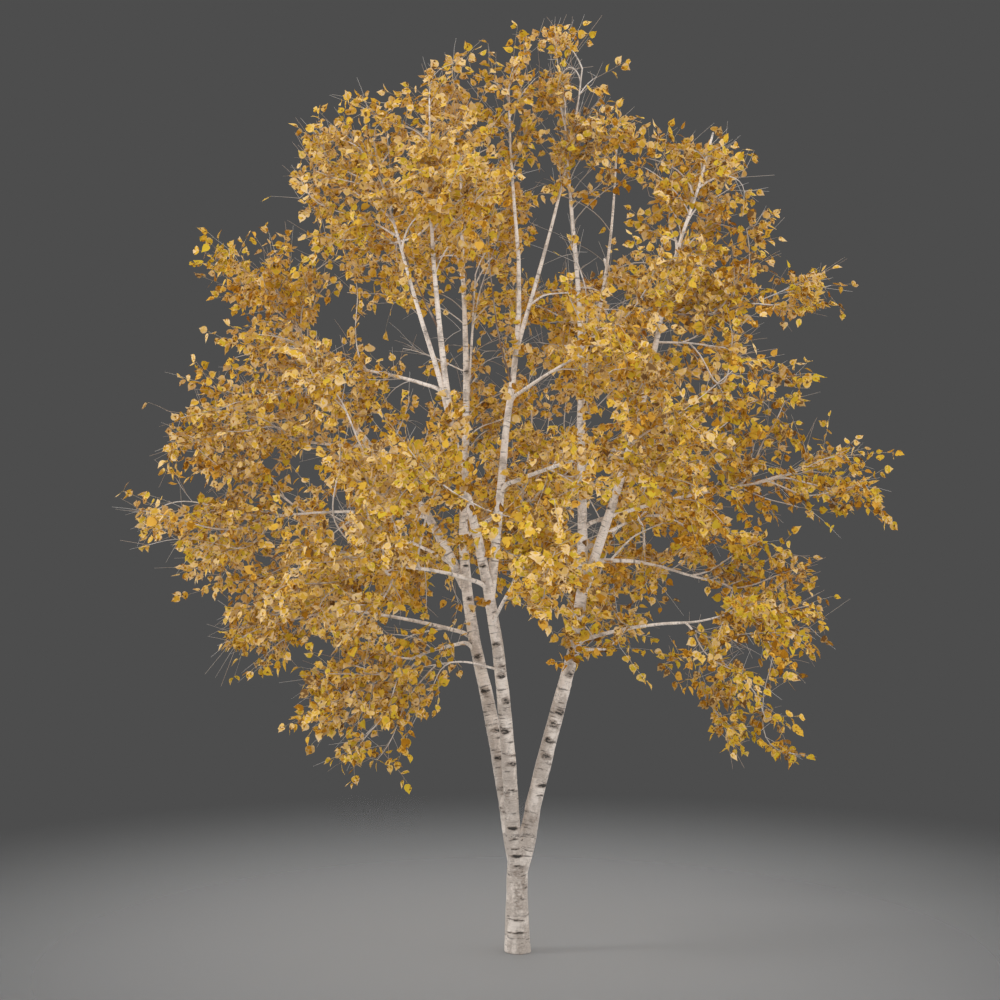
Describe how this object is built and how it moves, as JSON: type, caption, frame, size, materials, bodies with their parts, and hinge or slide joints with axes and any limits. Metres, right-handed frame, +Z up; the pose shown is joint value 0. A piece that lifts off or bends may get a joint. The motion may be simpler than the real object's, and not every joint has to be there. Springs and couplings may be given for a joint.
{
  "type": "birch tree",
  "caption": "Young silver birch in autumn leaf: a short trunk forks into upright stems that carry an airy, rounded crown of golden foliage masses.",
  "frame": {"origin": "middle of the flat cut under the trunk, at ground level", "axes": "+Z up along the tree's height, +X to the right and +Y to the back as the tree is seen from its front"},
  "size_m": [5.7702, 4.9724, 7],
  "materials": {
    "bark": "matt white birch bark with dark bands",
    "foliage": "satin golden leaves"
  },
  "bodies": {
    "root": {"bough_back": "bark", "bough_back_left": "bark", "bough_back_right": "bark", "bough_left": "bark", "bough_left_front": "bark", "bough_left_hanging": "bark", "bough_left_high": "bark", "bough_left_low": "bark", "bough_left_tip": "bark", "bough_middle": "bark", "bough_middle_high": "bark", "bough_middle_low": "bark", "bough_right": "bark", "bough_right_arching": "bark", "bough_right_hanging": "bark", "bough_right_inner": "bark", "bough_right_low": "bark", "foliage_back_left": "foliage", "foliage_back_middle": "foliage", "foliage_back_right": "foliage", "foliage_hanging_left": "foliage", "foliage_hanging_right": "foliage", "foliage_high_back": "foliage", "foliage_high_front": "foliage", "foliage_high_left": "foliage", "foliage_high_middle": "foliage", "foliage_high_right": "foliage", "foliage_inner_back": "foliage", "foliage_low_front": "foliage", "foliage_low_left": "foliage", "foliage_low_left_front": "foliage", "foliage_low_right": "foliage", "foliage_low_right_back": "foliage", "foliage_low_right_front": "foliage", "foliage_middle_front_right": "foliage", "foliage_middle_left": "foliage", "foliage_middle_left_front": "foliage", "foliage_middle_left_tip": "foliage", "foliage_middle_right": "foliage", "foliage_middle_right_low": "foliage", "foliage_middle_right_tip": "foliage", "foliage_top": "foliage", "foliage_top_left": "foliage", "foliage_upper_back_left": "foliage", "foliage_upper_back_right": "foliage", "foliage_upper_front_right": "foliage", "foliage_upper_left": "foliage", "foliage_upper_left_tip": "foliage", "foliage_upper_right": "foliage", "foliage_upper_right_tip": "foliage", "leader_back": "bark", "leader_front": "bark", "leader_left": "bark", "leader_middle": "bark", "leader_right": "bark", "leader_top": "bark", "stem_left": "bark", "stem_middle": "bark", "stem_right": "bark", "trunk": "bark"}
  },
  "joints": []
}
